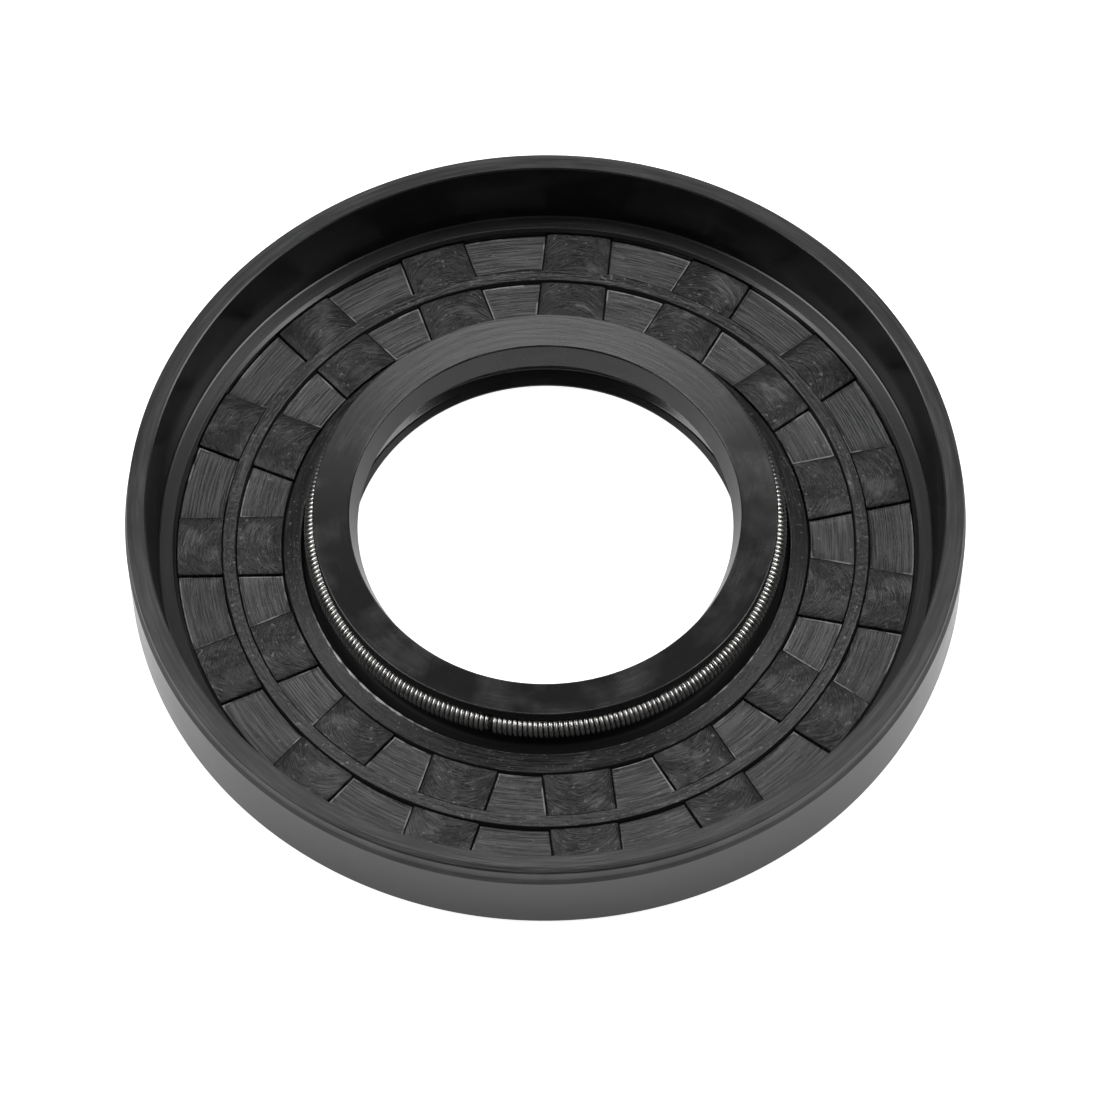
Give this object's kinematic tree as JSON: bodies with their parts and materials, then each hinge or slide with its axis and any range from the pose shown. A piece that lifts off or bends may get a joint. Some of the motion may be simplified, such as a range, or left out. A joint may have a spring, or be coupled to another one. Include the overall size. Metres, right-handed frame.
{
  "type": "radial shaft seal",
  "caption": "Black rubber-covered radial shaft seal: steel-stiffened ring with a spring-loaded sealing lip, a dust lip and a patterned floor.",
  "frame": {"origin": "centre of the flat back (air side) face, on the seal's axis", "axes": "+Z along the seal's axis from the back face towards the open side with the garter spring (oil side); +X and +Y across the seal, with a raised pad centred 12 degrees from +X"},
  "size_m": [0.08, 0.08, 0.01],
  "materials": {
    "rubber": "moulded nitrile rubber, satin black",
    "case_steel": "pressed mild steel, phosphated",
    "spring_steel": "bright drawn spring wire"
  },
  "bodies": {
    "root": {"rubber_body": "rubber", "steel_case": "case_steel", "garter_spring": "spring_steel"}
  },
  "joints": []
}
